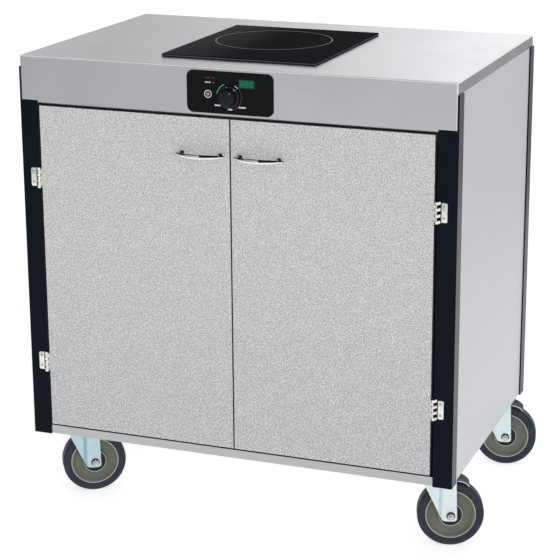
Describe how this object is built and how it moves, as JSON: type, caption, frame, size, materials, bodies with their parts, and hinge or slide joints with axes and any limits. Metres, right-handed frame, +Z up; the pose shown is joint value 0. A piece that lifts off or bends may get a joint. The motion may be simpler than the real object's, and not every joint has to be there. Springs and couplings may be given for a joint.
{
  "type": "mobile cooking cart",
  "caption": "Wheeled cooking cart: stainless worktop with an induction hob and front control panel over a two-door cabinet, on swivel casters with wheel brakes.",
  "frame": {"origin": "on the floor, under the middle of the box around the whole cart, handles, cord gland and swivelled casters included", "axes": "+Z up, -Y towards the front with the doors and the control panel, +X towards the cart's right seen from the front"},
  "size_m": [0.9058, 0.6022, 0.9065],
  "materials": {
    "stainless": "brushed stainless sheet",
    "black_paint": "semi-gloss black powder coat",
    "laminate": "speckled light grey laminate on board",
    "side_laminate": "plain light grey laminate on board",
    "back_board": "light grey laminated board",
    "shelf_board": "light grey laminate on board",
    "zinc": "bright zinc plating",
    "hinge_nickel": "nickel plating",
    "chrome": "polished chrome",
    "black_glass": "black glass ceramic",
    "gasket": "black silicone",
    "tray_steel": "galvanised sheet",
    "inner_plastic": "black moulded plastic",
    "copper": "enamelled copper",
    "circuit": "green circuit board",
    "panel_black": "black printed plastic",
    "display": "dark green display window",
    "lamp": "red lamp lens",
    "knob": "black moulded plastic",
    "button": "white moulded plastic",
    "steel": "bright steel",
    "wheel_core": "olive-grey moulded plastic",
    "tread": "dark slate rubber",
    "pedal": "dark ribbed pad on steel",
    "gland": "black nylon"
  },
  "bodies": {
    "cabinet": {"worktop": "stainless", "front_left_post": "black_paint", "front_right_post": "black_paint", "back_left_post": "black_paint", "back_right_post": "black_paint", "left_side_panel": "side_laminate", "right_side_panel": "side_laminate", "back_panel": "back_board", "cord_gland": "gland", "floor_pan": "stainless", "shelf": "shelf_board", "shelf_rests": "zinc", "header": "tray_steel", "door_catches": "inner_plastic", "hob_glass": "black_glass", "hob_gasket": "gasket", "hob_tray": "tray_steel", "coil_carrier": "inner_plastic", "induction_coil": "copper", "power_board": "circuit", "fan_housing": "inner_plastic", "control_panel": "panel_black", "display_window": "display", "indicator_lamps": "lamp", "control_board": "circuit", "control_box": "tray_steel", "frame_hinge_leaves": "hinge_nickel", "hinge_pins_and_screws": "hinge_nickel", "caster_plates": "zinc", "caster_bolts": "steel"},
    "fan": {"fan_rotor": "inner_plastic"},
    "control_dial": {"dial": "knob", "dial_shaft": "steel"},
    "on_off_button": {"power_button": "button"},
    "left_door_leaf": {"left_door": "laminate", "left_door_handle": "chrome", "left_door_hinge_leaves": "hinge_nickel", "left_door_fasteners": "steel"},
    "right_door_leaf": {"right_door": "laminate", "right_door_handle": "chrome", "right_door_hinge_leaves": "hinge_nickel", "right_door_fasteners": "steel"},
    "front_left_swivel": {"front_left_fork": "zinc", "front_left_axle": "steel"},
    "front_left_rolling_wheel": {"front_left_wheel": "wheel_core", "front_left_tread": "tread"},
    "front_right_swivel": {"front_right_fork": "zinc", "front_right_axle": "steel"},
    "front_right_rolling_wheel": {"front_right_wheel": "wheel_core", "front_right_tread": "tread"},
    "front_right_pedal": {"front_right_brake_pedal": "pedal"},
    "back_left_swivel": {"back_left_fork": "zinc", "back_left_axle": "steel"},
    "back_left_rolling_wheel": {"back_left_wheel": "wheel_core", "back_left_tread": "tread"},
    "back_right_swivel": {"back_right_fork": "zinc", "back_right_axle": "steel"},
    "back_right_rolling_wheel": {"back_right_wheel": "wheel_core", "back_right_tread": "tread"},
    "back_right_pedal": {"back_right_brake_pedal": "pedal"}
  },
  "joints": [
    {"name": "left_door_hinge", "type": "hinge", "parent": "cabinet", "child": "left_door_leaf", "pos_m": [-0.41644, -0.27645, 0.482], "axis": [0, 0, -1], "range_deg": [0, 180]},
    {"name": "right_door_hinge", "type": "hinge", "parent": "cabinet", "child": "right_door_leaf", "pos_m": [0.37416, -0.27645, 0.482], "axis": [0, 0, 1], "range_deg": [0, 180]},
    {"name": "front_left_caster_turn", "type": "hinge", "parent": "cabinet", "child": "front_left_swivel", "pos_m": [-0.39634, -0.20625, 0.148], "axis": [0, 0, 1], "continuous": true},
    {"name": "front_left_wheel_roll", "type": "hinge", "parent": "front_left_swivel", "child": "front_left_rolling_wheel", "pos_m": [-0.36709, -0.18667, 0.0635], "axis": [0.5563, -0.831, 0], "continuous": true},
    {"name": "front_right_caster_turn", "type": "hinge", "parent": "cabinet", "child": "front_right_swivel", "pos_m": [0.35406, -0.20625, 0.148], "axis": [0, 0, 1], "continuous": true},
    {"name": "front_right_wheel_roll", "type": "hinge", "parent": "front_right_swivel", "child": "front_right_rolling_wheel", "pos_m": [0.38728, -0.19462, 0.0635], "axis": [0.3305, -0.9438, 0], "continuous": true},
    {"name": "front_right_brake_press", "type": "hinge", "parent": "front_right_swivel", "child": "front_right_pedal", "pos_m": [0.39011, -0.19362, 0.1341], "axis": [-0.3305, 0.9438, 0], "range_deg": [0, 2.8]},
    {"name": "back_left_caster_turn", "type": "hinge", "parent": "cabinet", "child": "back_left_swivel", "pos_m": [-0.39634, 0.22295, 0.148], "axis": [0, 0, 1], "continuous": true},
    {"name": "back_left_wheel_roll", "type": "hinge", "parent": "back_left_swivel", "child": "back_left_rolling_wheel", "pos_m": [-0.36419, 0.23727, 0.0635], "axis": [0.4067, -0.9135, 0], "continuous": true},
    {"name": "back_right_caster_turn", "type": "hinge", "parent": "cabinet", "child": "back_right_swivel", "pos_m": [0.35406, 0.22295, 0.148], "axis": [0, 0, 1], "continuous": true},
    {"name": "back_right_wheel_roll", "type": "hinge", "parent": "back_right_swivel", "child": "back_right_rolling_wheel", "pos_m": [0.38846, 0.23039, 0.0635], "axis": [0.2113, -0.9774, 0], "continuous": true},
    {"name": "back_right_brake_press", "type": "hinge", "parent": "back_right_swivel", "child": "back_right_pedal", "pos_m": [0.39139, 0.23102, 0.1341], "axis": [-0.2113, 0.9774, 0], "range_deg": [0, 2.8]},
    {"name": "dial_turn", "type": "hinge", "parent": "cabinet", "child": "control_dial", "pos_m": [-0.02234, -0.27905, 0.849], "axis": [0, 1, 0], "range_deg": [0, 270]},
    {"name": "button_press", "type": "slide", "parent": "cabinet", "child": "on_off_button", "axis": [0, 1, 0], "range_m": [0, 0.0012], "stiffness_N_per_m": 400, "springref_m": -0.001},
    {"name": "fan_spin", "type": "hinge", "parent": "cabinet", "child": "fan", "pos_m": [-0.04954, 0.02495, 0.84], "axis": [0, 0, 1], "continuous": true}
  ]
}
